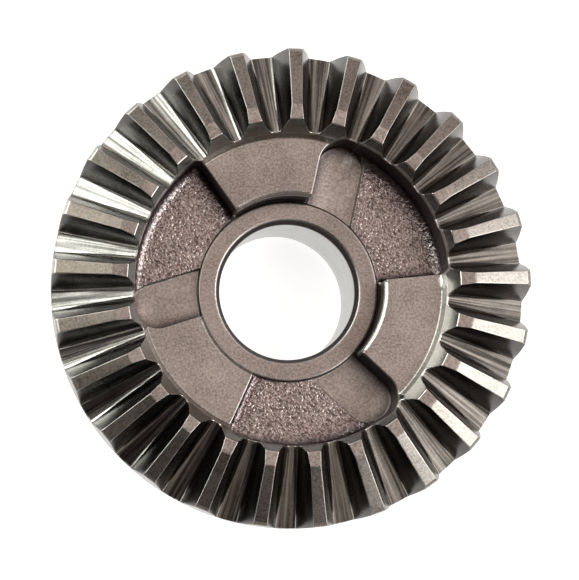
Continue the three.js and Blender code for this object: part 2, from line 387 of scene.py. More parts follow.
def beside_dog(r, local):
    """Whether points lie in the narrow floor between a dog and the collar."""
    return (r < DOG_RADII[0]) & ((local < POCKET_START) | (local > DRIVE_ANGLE))


def slot_distance(points):
    """The distance outside the milled slot, negative inside it."""
    _, _, p = in_drive_frame(points)
    half = SLOT_WIDTH / 2
    beside = np.abs(p[:, 1] + half) - half
    beyond = np.hypot(p[:, 0] - SLOT_END_CENTRE, p[:, 1] + half) - half
    return np.where(p[:, 0] < SLOT_END_CENTRE, beside, beyond)


def fillet_rise(distance, radius):
    inside = np.clip(radius - distance, 0, radius)
    return radius - np.sqrt(radius**2 - inside**2)


def floor_z(points):
    """The sunk middle's floor: forged, with a large fillet at the outer wall and a smaller one at
    its start, and lower in the slots."""
    r, local, _ = in_drive_frame(points)
    forged = POCKET_FLOOR + fillet_rise(POCKET_RADIUS - r, OUTER_FILLET)
    to_end = (local - POCKET_START) * r
    in_pocket = (to_end > -0.2) & (r > DOG_RADII[0] - 0.3)
    forged = forged + np.where(in_pocket, fillet_rise(np.maximum(to_end, 0), END_FILLET), 0)
    forged = np.where(beside_dog(r, local), POCKET_FLOOR, forged)
    slot = np.minimum(SLOT_FLOOR + slot_fillet(points), forged)
    return slot + (forged - slot) * smooth_step(slot_distance(points), *SLOT_STEP)


def slot_fillet(points):
    """The rise of a slot's floor at its drive face and, with a larger radius, round its end."""
    _, _, p = in_drive_frame(points)
    out, side = p[:, 0] - SLOT_END_CENTRE, p[:, 1] + SLOT_WIDTH / 2
    small, large = SLOT_FILLETS
    radius = small + (large - small) * smooth_step(out, -5, 0)
    from_wall = SLOT_WIDTH / 2 - np.where(out > 0, np.hypot(out, side), side)
    share = np.where(out > 0, smooth_step(np.arctan2(side, out), rad(-60), rad(-10)), 1)
    deep, wide = SLOT_DISH
    dish = deep * np.clip(1 - from_wall / wide, 0, 1) ** 2
    return share * (fillet_rise(from_wall, radius) + dish)


def clear_runs(points, clear):
    """The runs of neighbouring points that are clear."""
    good = np.flatnonzero(clear)
    runs = np.split(good, np.flatnonzero(np.diff(good) > 1) + 1)
    return [points[run] for run in runs if len(run) > 1]


def slot_edge_lines(outline):
    """Runs of points along the slots' rims, which keep the step in the floor crisp."""
    half = SLOT_WIDTH / 2
    kept = []
    for gap in RIM_GAPS:
        reach = half + gap
        side = line((RIM_START, -half - reach), (SLOT_END_CENTRE, -half - reach), RIM_STEP)
        end = arc((SLOT_END_CENTRE, -half), reach, -TURN / 4, TURN / 4, RIM_STEP)
        for i in range(DOG_COUNT):
            run = turned_by(np.vstack([side, end[1:]]), DRIVE_ANGLE + TURN * i / DOG_COUNT)
            clear = distance_from(outline, run) > RIM_CLEARANCE
            clear &= np.hypot(*run.T) > COLLAR_RADIUS + 0.3
            kept += clear_runs(np.column_stack([run, floor_z(run)]), clear)
    return kept


def cone_lines(outline):
    """Runs of points round the toe cone, from the dogs' tops to the seam."""
    kept = []
    for r in CONE_RADII:
        angles = columns([r])[0]
        points = ring(r, face_z(r, angles), angles)
        clear = ~in_void(points[:, :2])
        clear &= distance_from(outline, points[:, :2]) > CONE_CLEARANCE
        kept += clear_runs(points, clear)
    return kept


def distance_from(outline, points, batch=2000):
    """The distance from each point to the outline's nearest point."""
    distance = np.empty(len(points))
    for i in range(0, len(points), batch):
        gap = points[i : i + batch, None] - outline[None]
        distance[i : i + batch] = np.sqrt((gap**2).sum(2).min(1))
    return distance


# ---- meshes ----

WELD_DISTANCE = 2e-7


class Shell:
    """Vertices, faces and a material for each face, joined where they meet."""

    def __init__(self):
        self.points, self.faces, self.finishes, self.count = [], [], [], 0

    def add(self, points):
        start = self.count
        self.points.append(np.asarray(points, float).reshape(-1, 3))
        self.count += len(self.points[-1])
        return start

    def sheet(self, rows, finishes):
        """Quads between closed rows of points. finishes has one row of numbers for each gap."""
        rows = np.asarray(rows, float)
        count = rows.shape[1]
        start = self.add(rows)
        j = np.arange(count)
        after = (j + 1) % count
        for i in range(len(rows) - 1):
            a, b = start + i * count, start + (i + 1) * count
            quads = np.stack([a + j, b + j, b + after, a + after], 1)
            self.faces += quads.tolist()
            self.finishes += np.broadcast_to(finishes[i], count).tolist()

    def turn(self, outline, angles):
        """The surface that an outline of radii and heights makes when it is turned."""
        self.sheet([ring(r, z, angles) for r, z in outline], [0] * (len(outline) - 1))

    def mesh(self, name, materials):
        mesh = bpy.data.meshes.new(name)
        mesh.from_pydata(np.vstack(self.points) * MM, [], self.faces)
        for material in materials:
            mesh.materials.append(material)
        mesh.polygons.foreach_set("material_index", np.array(self.finishes, np.int32))
        mesh.polygons.foreach_set("use_smooth", np.ones(len(mesh.polygons), bool))
        return weld(mesh)


def link(piece):
    bpy.context.scene.collection.objects.link(piece)


def weld(mesh):
    work = bmesh.new()
    work.from_mesh(mesh)
    bmesh.ops.remove_doubles(work, verts=work.verts, dist=WELD_DISTANCE)
    bmesh.ops.recalc_face_normals(work, faces=work.faces)
    work.to_mesh(mesh)
    work.free()
    mesh.update()
    return mesh


def ring(radius, z, angles):
    return np.column_stack([on_circle(radius, angles), np.broadcast_to(z, len(angles))])


def rounded(profile, radius, closed=False, steps=4, most=0.45):
    """A turned outline with its corners rounded, by no more than a share of their sides."""
    profile = [np.array(p, float) for p in profile]
    count = len(profile)
    out = []
    for i, corner in enumerate(profile):
        if not closed and i in (0, count - 1):
            out.append(corner)
            continue
        a, b = profile[i - 1] - corner, profile[(i + 1) % count] - corner
        reach = min(radius, most * np.linalg.norm(a), most * np.linalg.norm(b))
        a, b = corner + a / np.linalg.norm(a) * reach, corner + b / np.linalg.norm(b) * reach
        for t in np.linspace(0, 1, steps + 1):
            out.append((1 - t) ** 2 * a + 2 * t * (1 - t) * corner + t**2 * b)
    return out


def supported(profile, gap=0.12):
    """Adds a point near each end of a long straight, so that its shading stays flat."""
    out = [profile[0]]
    for a, b in zip(profile, profile[1:]):
        length = np.linalg.norm(b - a)
        if length > 4 * gap:
            out += [a + (b - a) * gap / length, b - (b - a) * gap / length]
        out.append(b)
    return out


# Where columns of points stand on a tooth space's floor, its flank and the land beside it.
FLOOR_SHARES = (0, 0.35, 0.65, 0.88, 1)
FLANK_SHARES = (0.05, 0.12, 0.21, 0.32, 0.45, 0.6, 0.75, 0.88, 0.96, 1)
LAND_SHARES = (0.035, 0.09, 0.18, 0.35, 0.6, 1)

# The radii of the lines of points round the toe cone.
CONE_RADII = (
    27.95, 28.08, 28.2, 28.32, 28.5, 28.7, 28.87, 28.96,
    29.05, 29.15, 29.27, 29.4, 29.55, 29.7, 29.85, 30.02,
)

# Rows of points outward over the teeth: how many on the rest of the toe cone, on the toe flat and
# on the tips, and where rows lie beside each edge between them. Then the rows that end the face
# near the heel, round its edge (how far in, how far down) and down the heel.
TOE_ROWS, FLAT_ROWS, TIP_ROWS = 6, 7, 40
AT_TOE_EDGE = np.array([-0.12, -0.05, 0.02, 0.1])
AT_FLAT_END = np.array([-0.1, 0, 0.12])
AT_TIP_END = np.array([-0.08, 0.0, 0.1])
HEEL_INSET = 0.14
HEEL_SHARES = (0.4, 0.8)
HEEL_ROUND = ((0.1, 0.0), (0.03, 0.03), (0.0, 0.12))
HEEL_WALL_SHARES = (0.25, 0.5, 0.75, 0.93)


def columns(radii):
    """The angle of every column of the toothed face at each radius, from one land's middle on."""
    r = np.atleast_1d(radii)[:, None]
    edge = edge_across(r)
    floor = np.minimum(floor_half_width(r), 0.75 * edge)
    up = np.hstack([
        floor * np.array(FLOOR_SHARES),
        floor + (edge - floor) * np.array(FLANK_SHARES),
        edge + (PITCH * r / 2 - edge) * np.array(LAND_SHARES),
    ])
    across = np.hstack([-up[:, :0:-1], up[:, :-1]])
    middles = FIRST_TOOTH_ANGLE + PITCH * (np.arange(TOOTH_COUNT) + 0.5)
    return (middles[None, :, None] + (across / r)[:, None, :]).reshape(len(r), -1)


LAND, FORGED, FLANK_PAINTED_SHADE, TURNED, TOE, ROOT, WALL_PAINTED_SHADE, TIP_PAINTED_SHADE = range(8)


def column_finishes(land):
    """The finish of every gap between columns."""
    floor_end = len(FLOOR_SHARES) - 1
    flank_end = floor_end + len(FLANK_SHARES)
    count = flank_end + len(LAND_SHARES)
    out = np.abs(np.arange(2 * count) + 0.5 - count)
    # The flanks take a near-black finish, as painted shade.
    kinds = np.where(out < floor_end, ROOT, np.where(out < flank_end, FLANK_PAINTED_SHADE, land))
    return np.tile(kinds, TOOTH_COUNT)


def tooth_rows():
    """Rows of points from the seam to the heel's rim and down the heel."""
    first, last = TOE_FLAT_RADII
    radii = np.concatenate([
        np.linspace(SEAM_RADIUS, first - 0.22, TOE_ROWS),
        first + AT_TOE_EDGE,
        np.linspace(first + 0.3, last - 0.25, FLAT_ROWS),
        last + AT_FLAT_END,
        np.linspace(last + 0.3, TIP_END - 0.2, TIP_ROWS),
        TIP_END + AT_TIP_END,
    ])
    angles = columns(radii)
    rows = [ring(r, face_z(r, a), a) for r, a in zip(radii, angles)]
    end = np.full(angles.shape[1], HEEL_RADIUS)
    last_angles = columns([HEEL_RADIUS - HEEL_CHAMFER / 2])[0]
    lean = (HEEL_RADIUS - HEEL_BOTTOM[0]) / (TIP_HEEL_Z - HEEL_CHAMFER - HEEL_BOTTOM[1])
    for _ in range(4):
        z = face_z(end, last_angles)
        end = HEEL_RADIUS - lean * np.clip(TIP_HEEL_Z - HEEL_CHAMFER - z, 0, None)
    near = radii[-1]
    for share in HEEL_SHARES:
        r = near + (end - HEEL_INSET - near) * share
        rows.append(ring(r, face_z(r, last_angles), last_angles))
    for inset, drop in HEEL_ROUND:
        r = end - inset
        rows.append(ring(r, face_z(r, last_angles) - drop, last_angles))
    top = rows[-1][:, 2]
    for share in HEEL_WALL_SHARES:
        z = top + (HEEL_BOTTOM[1] - top) * share
        r = end + (HEEL_BOTTOM[0] - end) * share
        rows.append(ring(r, z, last_angles))
    return radii, rows, last_angles


def back_profile():
    """The turned outline from the heel's foot round the back and up through the bore."""
    a, b, c, d = RECESS_RADII
    back = [
        (HEEL_BOTTOM[0], HEEL_BOTTOM[1] + 0.02),
        (HEEL_BOTTOM[0], HEEL_BOTTOM[1]),
        (BACK_RIM_RADIUS, SHOULDER_Z),
        (a, SHOULDER_Z),
        (b, RECESS_Z),
        (c, RECESS_Z),
        (d, SHOULDER_Z),
        (HUB_RADIUS, SHOULDER_Z),
        (HUB_RADIUS, HUB_END + HUB_CHAMFER),
        (HUB_RADIUS - HUB_CHAMFER, HUB_END),
        (BUSH_SEAT_RADIUS, HUB_END),
        (BUSH_SEAT_RADIUS, BUSH_STOP_Z),
        (BORE_RADIUS, BUSH_STOP_Z),
        (BORE_RADIUS, BORE_CHAMFER_Z),
        BORE_EDGE,
        (COLLAR_RADIUS - COLLAR_BEVEL, COLLAR_TOP),
        (COLLAR_RADIUS, COLLAR_TOP - COLLAR_BEVEL),
    ]
    return supported(rounded(back, BACK_ROUND, steps=3), 0.15)


def back_finish(start, end):
    """The finish between two points of the back's outline."""
    r, z = (start + end) / 2
    if z < BUSH_STOP_Z + 0.1 or r > COLLAR_RADIUS + 0.3:
        return TURNED
    # The bore's chamfer takes the near-black wall finish, as painted shade.
    return WALL_PAINTED_SHADE if r < BORE_EDGE[0] - 0.05 else LAND


def sunk_middle(shell, ring_angles, seam_angles):
    """The dogs' tops, the walls round them and the floor, out to the seam with the teeth."""
    outline = dog_outline()
    start, end = (DOG_RADII[0] + out for out in INNER_WALL_BLEND)
    on_inner_wall = 1 - smooth_step(np.hypot(*outline.T), start, end)
    tops = []
    for (out, drop), (inner_out, inner_drop) in zip(EDGE_ROUND, INNER_BEVEL):
        loop = offset(outline, out + (inner_out - out) * on_inner_wall)
        r, angle = polar(loop)
        below = drop + (inner_drop - drop) * on_inner_wall
        tops.append(np.column_stack([loop, face_z(r, angle) - below]))
    foot = []
    for back, rise in FOOT:
        loop = offset(outline, -back * (1 + (INNER_FOOT_SHARE - 1) * on_inner_wall))
        foot.append(np.column_stack([loop, floor_z(loop) + rise]))
    wall = [tops[-1] + (foot[0] - tops[-1]) * share for share in WALL_SHARES]
    r, local, _ = in_drive_frame(outline)
    forged = (local < POCKET_END - 0.01) & (local > POCKET_START - 0.06)
    forged &= (r > DOG_RADII[0] + 0.4) & (slot_distance(outline) > 0.05)
    foot_side = np.where(forged, FORGED, LAND)
    # The walls take a near-black finish, as painted shade.
    finishes = [LAND] * len(tops) + [WALL_PAINTED_SHADE] * (len(wall) + 1) + [foot_side] * (len(foot) - 2)
    shell.sheet(tops + wall + foot, finishes)

    outer = ring(SEAM_RADIUS, face_z(SEAM_RADIUS, seam_angles), seam_angles)
    inner = ring(COLLAR_RADIUS + COLLAR_FOOT_OUT[0], 0, ring_angles)
    inner[:, 2] = floor_z(inner[:, :2])
    loops = [outer, tops[0], foot[-1], inner]
    lines = slot_edge_lines(outline) + cone_lines(outline)
    groups = loops + [interior_points(outline)] + lines
    starts = np.concatenate([[0], np.cumsum([len(group) for group in groups])])
    known = np.vstack(groups)
    faces = [list(range(starts[i], starts[i + 1])) for i in range(len(loops))]
    line_starts = starts[-len(lines) - 1 :]
    spans = zip(line_starts, line_starts[1:])
    edges = [(k, k + 1) for start, end in spans for k in range(start, end - 1)]
    flat, triangles, sources, owners = triangulated(known[:, :2], edges, faces)
    points = np.column_stack([flat, floor_z(flat)])
    for i, source in enumerate(sources):
        if source:
            points[i] = known[source[0]]
    in_top, in_foot, in_collar = np.array([[k in owner for k in (1, 2, 3)] for owner in owners]).T
    kept = ~in_collar & (in_top == in_foot)
    triangles = np.array(triangles)[kept]
    added = shell.add(points)
    shell.faces += (triangles + added).tolist()
    shell.finishes += middle_finishes(flat[triangles].mean(1), in_top[kept]).tolist()
    return inner


def triangulated(points, edges, faces):
    """Triangles over flat points that keep the edges and the faces' rims, with the points that
    each new point comes from and the faces that each triangle lies in."""
    vectors = [Vector(p) for p in points]
    flat, _, triangles, sources, _, owners = delaunay_2d_cdt(vectors, edges, faces, 1, 1e-5, True)
    return np.array([tuple(v) for v in flat]), triangles, sources, owners


SPACE_START = 29.08


def middle_finishes(points, sunk):
    """The finish at points inside the seam, given which of them are on the sunk floor."""
    r, local, _ = in_drive_frame(points)
    milled = (slot_distance(points) < 0.08) | beside_dog(r, local)
    across = across_space(r, polar(points)[1])
    in_space = (r > SPACE_START) & (across < edge_across(r))
    # The flanks take a near-black finish, as painted shade.
    space = np.where(across < floor_half_width(r), ROOT, FLANK_PAINTED_SHADE)
    top = np.where(in_space, space, np.where(r > DOG_RADII[1] + 0.1, TOE, LAND))
    return np.where(sunk, np.where(milled, LAND, FORGED), top)


def interior_points(outline):
    """Loose points that fill the floor and the dogs' tops."""
    outward, along = LOOSE_STEPS
    points = []
    for k, r in enumerate(np.arange(COLLAR_RADIUS + 0.4, POCKET_RADIUS - 0.4, outward)):
        count = int(TURN * r / along)
        a = (np.arange(count) + 0.5 * (k % 2)) * TURN / count
        points.append(on_circle(r, a))
    points = np.vstack(points)
    r = np.hypot(*points.T)
    sunk = in_void(points)
    distance = distance_from(outline, points)
    low = sunk & (distance > FLOOR_CLEARANCE) & (np.abs(slot_distance(points)) > SLOT_CLEARANCE)
    high = ~sunk & (distance > TOP_CLEARANCE)
    high &= (r > DOG_RADII[0] + INNER_CLEARANCE) & (r < CONE_RADII[0] - 0.1)
    floor = np.column_stack([points[low], floor_z(points[low])])
    top = np.column_stack([points[high], face_z(r[high], np.zeros(high.sum()))])
    return np.vstack([floor, top])


def in_void(points):
    """Whether points lie in the sunk middle of the face."""
    r, local, _ = in_drive_frame(points)
    pocket = (r < POCKET_RADIUS) & (local > POCKET_START) & (local < POCKET_END)
    milled = (slot_distance(points) < 0) & (r < POCKET_RADIUS)
    return pocket | milled | (r < DOG_RADII[0])


def gear_mesh(materials):
    shell = Shell()
    radii, rows, heel_angles = tooth_rows()
    cone_end = TOE_ROWS + len(AT_TOE_EDGE) - 1
    flat_end = cone_end + FLAT_ROWS + 2
    face_end = len(radii) + len(HEEL_SHARES) + len(HEEL_ROUND) - 1
    finishes = []
    for i in range(len(rows) - 1):
        # The tips take a darker copy of the ground face, as painted shade.
        land = TOE if i < cone_end else LAND if i < flat_end else TIP_PAINTED_SHADE
        finishes.append(column_finishes(land) if i < face_end else TURNED)
    shell.sheet(rows, finishes)
    profile = back_profile()
    back = [ring(r, z, heel_angles) for r, z in profile[1:]]
    shell.sheet([rows[-1]] + back, [back_finish(a, b) for a, b in zip(profile, profile[1:])])
    inner = sunk_middle(shell, heel_angles, columns([SEAM_RADIUS])[0])
    bevel_end = COLLAR_TOP - COLLAR_BEVEL
    high, low = (inner[:, 2] + rise for rise in COLLAR_FOOT_UP)
    wall = ring(COLLAR_RADIUS, np.minimum(high, bevel_end - 0.01), heel_angles)
    foot = ring(COLLAR_RADIUS + COLLAR_FOOT_OUT[1], np.minimum(low, bevel_end - 0.02), heel_angles)
    shell.sheet([back[-1], wall, foot, inner], [LAND] * 3)
    return shell.mesh("bevel_gear_forging", materials)


# ---- the bush and the bearing ----

ROLLER_JOINTS = [joint for joint in frame["joints"] if joint["child"].startswith("roller_")]
ROLLER_COUNT = len(ROLLER_JOINTS)
FIRST_POS = Vector(ROLLER_JOINTS[0]["pos_m"]) / MM
FIRST_AXIS = Vector(ROLLER_JOINTS[0]["axis"])
PITCH_RADIUS = math.hypot(FIRST_POS.x, FIRST_POS.y)
TILT = math.acos(FIRST_AXIS.z)
ROLLER_RADIUS = 2.5
ROLLER_LENGTH = 9.0
ROLLER_ROUND = 0.35
CLEARANCE = 0.09
APEX_DISTANCE = PITCH_RADIUS / math.sin(TILT)
APEX_Z = FIRST_POS.z - APEX_DISTANCE * math.cos(TILT)
TAPER = math.atan(ROLLER_RADIUS / APEX_DISTANCE)
RIB_AT = ROLLER_LENGTH / 2 + 0.15
RIB_RADII = (20.0, 22.1)
OUTER_RADIUS = 27.5
OUTER_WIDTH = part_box("outer_ring")[1].z / MM
INNER_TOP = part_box("inner_ring")[1].z / MM
INNER_BORE = HUB_RADIUS + 0.3
RING_CHAMFER = 0.7
RING_ROUND = 0.3
CAGE_OFFSET = 1.1
CAGE_THICKNESS = 0.9
CAGE_Z = (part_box("roller_cage")[0].z / MM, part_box("roller_cage")[1].z / MM)
CAGE_LIP_RADIUS = 20.8
CAGE_COLUMNS = 13
CAGE_STEP = 0.6
CAGE_BEVEL = 0.16
CAGE_BEVEL_ANGLE = rad(40)
WINDOW = (5.1, 9.5)
WINDOW_ROUND = 0.9
WINDOW_STEP = 0.5
WINDOW_SUPPORT = 0.22
FINE_TURN = np.linspace(0, TURN, 256, endpoint=False)
COARSE_TURN = np.linspace(0, TURN, 48, endpoint=False)


def cone_radius(z, half_angle):
    return (z - APEX_Z) * math.tan(half_angle)


def roller_end_z(radius, along):
    """The height, at a radius, of the plane across a roller at a distance along its axis."""
    return FIRST_POS.z + (along - (radius - PITCH_RADIUS) * math.sin(TILT)) / math.cos(TILT)


def turned_piece(name, profile, materials, radius):
    """A closed ring turned from an outline that runs once round its section."""
    shell = Shell()
    outline = rounded(profile, radius, closed=True)
    shell.turn(supported(outline + outline[:1]), FINE_TURN)
    return bpy.data.objects.new(name, shell.mesh(name, materials))


def bush(materials):
    low, high = (corner.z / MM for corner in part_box("bore_bush"))
    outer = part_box("bore_bush")[1].x / MM
    profile = [(BORE_RADIUS, low), (outer, low), (outer, high), (BORE_RADIUS, high)]
    return turned_piece("bore_bush_sleeve", profile, materials, RING_ROUND)


def inner_ring(materials):
    raceway = TILT - TAPER
    start = roller_end_z(RIB_RADII[0], -RIB_AT)
    end = roller_end_z(cone_radius(FIRST_POS.z + RIB_AT, raceway), RIB_AT)
    profile = [
        (INNER_BORE, HUB_END),
        (RIB_RADII[0], HUB_END),
        (RIB_RADII[0], start),
        (cone_radius(start, raceway), start),
        (cone_radius(end, raceway), end),
        (RIB_RADII[1], roller_end_z(RIB_RADII[1], RIB_AT)),
        (RIB_RADII[1], INNER_TOP),
        (INNER_BORE + RING_CHAMFER, INNER_TOP),
        (INNER_BORE, INNER_TOP - RING_CHAMFER),
    ]
    return turned_piece("inner_ring_ground", profile, materials, RING_ROUND)


def outer_ring(materials):
    raceway = TILT + TAPER
    profile = [
        (cone_radius(0, raceway), 0),
        (OUTER_RADIUS - RING_CHAMFER, 0),
        (OUTER_RADIUS, RING_CHAMFER),
        (OUTER_RADIUS, OUTER_WIDTH - RING_CHAMFER),
        (OUTER_RADIUS - RING_CHAMFER / 2, OUTER_WIDTH),
        (cone_radius(OUTER_WIDTH, raceway), OUTER_WIDTH),
    ]
    return turned_piece("outer_ring_ground", profile, materials, RING_CHAMFER / 2)


def roller_mesh(materials):
    """One roller about its own axis: ground sides, rounded ends and a shallow dimple in each."""
    half = ROLLER_LENGTH / 2
    middle, dimple, depth = 0.001, 0.9, 0.15

    def side(along):
        return (APEX_DISTANCE + along) * math.tan(TAPER) - CLEARANCE

    profile = [
        (middle, -half + depth), (dimple, -half + depth), (1.3, -half), (side(-half), -half),
        (side(half), half), (1.4, half), (dimple, half - depth), (middle, half - depth),
    ]
    shell = Shell()
    shell.turn(supported(rounded(profile, ROLLER_ROUND), 0.2), COARSE_TURN)
    return shell.mesh("roller", materials)


def rollers(materials):
    mesh = roller_mesh(materials)
    for joint in ROLLER_JOINTS:
        piece = bpy.data.objects.new(joint["child"] + "_ground", mesh)
        link(piece)
        piece.rotation_mode = "QUATERNION"
        piece.rotation_quaternion = Vector((0, 0, 1)).rotation_difference(Vector(joint["axis"]))
        piece.location = joint["pos_m"]
        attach(piece, joint["child"])
        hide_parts(joint["child"])


def window_outline():
    """A cage window's rim about its middle: across the window, then along the roller."""
    w, h = WINDOW[0] / 2 - WINDOW_ROUND, WINDOW[1] / 2 - WINDOW_ROUND
    corners = [(w, -h, -TURN / 4), (w, h, 0), (-w, h, TURN / 4), (-w, -h, TURN / 2)]
    step = WINDOW_STEP / 2
    rim = [arc((x, y), WINDOW_ROUND, a, a + TURN / 4, step) for x, y, a in corners]
    return evened(np.vstack(rim), WINDOW_STEP)


def cage(materials):
    """Pressed sheet: a cone with a window for each roller and a lip turned in at its foot."""
    slope = 1 / math.cos(TILT)
    low, high = CAGE_Z[0] + CAGE_THICKNESS / 2, CAGE_Z[1]
    bottom = (low - FIRST_POS.z) * slope
    top = (high - FIRST_POS.z) * slope
    step = TURN / ROLLER_COUNT
    half = PITCH_RADIUS * step / 2
    side = np.arange(bottom, top, CAGE_STEP)
    across = np.linspace(-half, half, CAGE_COLUMNS)
    border = np.vstack([
        np.column_stack([across, np.full(CAGE_COLUMNS, bottom)]),
        np.column_stack([np.full(len(side) - 1, half), side[1:]]),
        np.column_stack([across[::-1], np.full(CAGE_COLUMNS, top)]),
        np.column_stack([np.full(len(side) - 1, -half), side[:0:-1]]),
    ])
    rim = window_outline()
    around = rim * (1 + WINDOW_SUPPORT / np.linalg.norm(rim, axis=1))[:, None]
    window_end = len(border) + len(rim)
    faces = [list(range(len(border))), list(range(len(border), window_end))]
    flat, triangles, _, owners = triangulated(np.vstack([border, rim, around]), [], faces)
    z = FIRST_POS.z + flat[:, 1] / slope
    radius = cone_radius(z, TILT) + CAGE_OFFSET
    keep = [list(t) for t, owner in zip(triangles, owners) if 1 not in owner]
    shell = Shell()
    for i in range(ROLLER_COUNT):
        start = shell.add(ring(radius, z, flat[:, 0] / PITCH_RADIUS + i * step))
        shell.faces += [[start + k for k in t] for t in keep]
        shell.finishes += [0] * len(keep)
    foot = cone_radius(low, TILT) + CAGE_OFFSET
    angles = np.unique(np.round([
        (a / PITCH_RADIUS + i * step) % TURN for a in across[:-1] for i in range(ROLLER_COUNT)], 9))
    lip = (foot, foot - 0.3, (foot + CAGE_LIP_RADIUS) / 2, CAGE_LIP_RADIUS)
    shell.sheet([ring(r, low, angles) for r in lip], [0] * (len(lip) - 1))
    name = "roller_cage_pressed"
    piece = bpy.data.objects.new(name, shell.mesh(name, materials))
    solid = piece.modifiers.new("thickness", "SOLIDIFY")
    solid.thickness = CAGE_THICKNESS * MM
    solid.offset = 0
    soft = piece.modifiers.new("rounded_rims", "BEVEL")
    soft.width = CAGE_BEVEL * MM
    soft.segments = 2
    soft.limit_method = "ANGLE"
    soft.angle_limit = CAGE_BEVEL_ANGLE
    return piece


# ---- finishes ----

# How much of a finish's pattern is its grain, or its streaks where it has any, and how an edge
# that bends more than the least is lightened, as wear and painted highlight: so much lighter, and
# so much stronger in colour.
GRAIN_SHARE = 0.7
STREAK_SHARE = 0.85
LEAST_EDGE_BEND = rad(7)
WEAR_AND_SHEEN_LIFT = 0.35
WEAR_AND_SHEEN_GAIN = 1.1


def add(tree, kind, inputs=None, **settings):
    """A shader node with its settings, its sockets' values and its links."""
    made = tree.nodes.new(kind)
    for key, value in settings.items():
        setattr(made, key, value)
    for key, value in (inputs or {}).items():
        if isinstance(value, bpy.types.NodeSocket):
            tree.links.new(value, made.inputs[key])
        else:
            made.inputs[key].default_value = value
    return made


def math_node(tree, operation, a, b=0.0):
    return add(tree, "ShaderNodeMath", {0: a, 1: b}, operation=operation).outputs[0]


def times(tree, a, b):
    return math_node(tree, "MULTIPLY", a, b)


def stored(tree, name):
    return add(tree, "ShaderNodeAttribute", attribute_name=name).outputs["Fac"]


def in_millimetres(tree):
    place = add(tree, "ShaderNodeTexCoord").outputs["Object"]
    inputs = {0: place, "Scale": 1 / MM}
    return add(tree, "ShaderNodeVectorMath", inputs, operation="SCALE").outputs[0]


def polar_place(tree, around, outward, up):
    """Texture coordinates that run round the axis, outward and up, each with its own scale."""
    parts = add(tree, "ShaderNodeSeparateXYZ", {0: in_millimetres(tree)}).outputs
    angle = math_node(tree, "ARCTAN2", parts[1], parts[0])
    squares = [math_node(tree, "POWER", part, 2.0) for part in parts[:2]]
    radius = math_node(tree, "SQRT", math_node(tree, "ADD", *squares))
    scaled = {
        0: times(tree, angle, around * PITCH_RADIUS),
        1: times(tree, radius, outward),
        2: times(tree, parts[2], up),
    }
    return add(tree, "ShaderNodeCombineXYZ", scaled).outputs[0]


def speckle(tree, place, scale, detail=3.0, roughness=0.6):
    """Noise from 0 to 1, mostly near 0.5."""
    inputs = {"Vector": place, "Scale": scale, "Detail": detail, "Roughness": roughness}
    return add(tree, "ShaderNodeTexNoise", inputs).outputs[0]


def ranged(tree, value, low, high, start=0.3, end=0.7):
    """low to high while value runs from start to end."""
    inputs = {0: value, 1: start, 2: end, 3: low, 4: high}
    return add(tree, "ShaderNodeMapRange", inputs).outputs[0]


def blend(tree, share, a, b):
    """Colour a with share of colour b."""
    made = add(tree, "ShaderNodeMix", data_type="RGBA")
    for key, value in (("Factor_Float", share), ("A_Color", a), ("B_Color", b)):
        socket = next(s for s in made.inputs if s.identifier == key)
        if isinstance(value, bpy.types.NodeSocket):
            tree.links.new(value, socket)
        else:
            socket.default_value = value if key == "Factor_Float" else (*value, 1.0)
    return next(s for s in made.outputs if s.identifier == "Result_Color")


def mixture(tree, a, b, share):
    """(1 - share) of a with share of b."""
    return math_node(tree, "ADD", times(tree, a, 1 - share), times(tree, b, share))


def metal(
    name, dark, light, roughness, grain, patches, bump,
    streaks=None, wear_and_sheen=0.35, detail=3.0, spread=0.12, corner_shade=0.0,
):
    """Steel with large patches, a fine grain, and edges lightened as wear and painted highlight.

    roughness is a (lowest, highest) pair. grain and patches are noise scales per millimetre, and
    bump is the grain's depth in millimetres. streaks are the scales of a noise round the axis,
    outward and up, which takes most of the grain's place. worn is how much its edges are lightened,
    as wear and painted highlight, spread how gently dark turns to light, and dirt how strongly its
    sunk corners are darkened, as painted shade.
    """
    material = bpy.data.materials.new(name)
    material.use_nodes = True
    tree = material.node_tree
    shader = tree.nodes["Principled BSDF"]
    shader.inputs["Metallic"].default_value = 1.0
    place = in_millimetres(tree)
    broad = speckle(tree, place, patches)
    fine = speckle(tree, place, grain, detail, 0.7)
    if streaks:
        lines = speckle(tree, polar_place(tree, *streaks), 1.0, 2.0)
        fine = mixture(tree, fine, lines, STREAK_SHARE)
    mixed = mixture(tree, broad, fine, STREAK_SHARE if streaks else GRAIN_SHARE)
    colour = blend(tree, ranged(tree, mixed, 0, 1, 0.5 - spread, 0.5 + spread), dark, light)
    rubbed_and_lit = tuple(min(1.0, WEAR_AND_SHEEN_LIFT + WEAR_AND_SHEEN_GAIN * c) for c in light)
    # Wear and painted highlight: outward edges turn lighter.
    colour = blend(tree, times(tree, stored(tree, "edge_wear_and_sheen"), wear_and_sheen), colour, rubbed_and_lit)
    # Painted shade: the sunk floor turns darker towards its walls.
    if corner_shade:
        colour = blend(tree, times(tree, stored(tree, "painted_corner_shade"), corner_shade), colour, CORNER_SHADE_COLOUR)
    tree.links.new(colour, shader.inputs["Base Color"])
    rough = ranged(tree, mixed, roughness[0], roughness[1])
    tree.links.new(rough, shader.inputs["Roughness"])
    if bump:
        made = add(tree, "ShaderNodeBump", {"Height": fine, "Distance": bump * MM, "Strength": 1.0})
        tree.links.new(made.outputs[0], shader.inputs["Normal"])
    return material


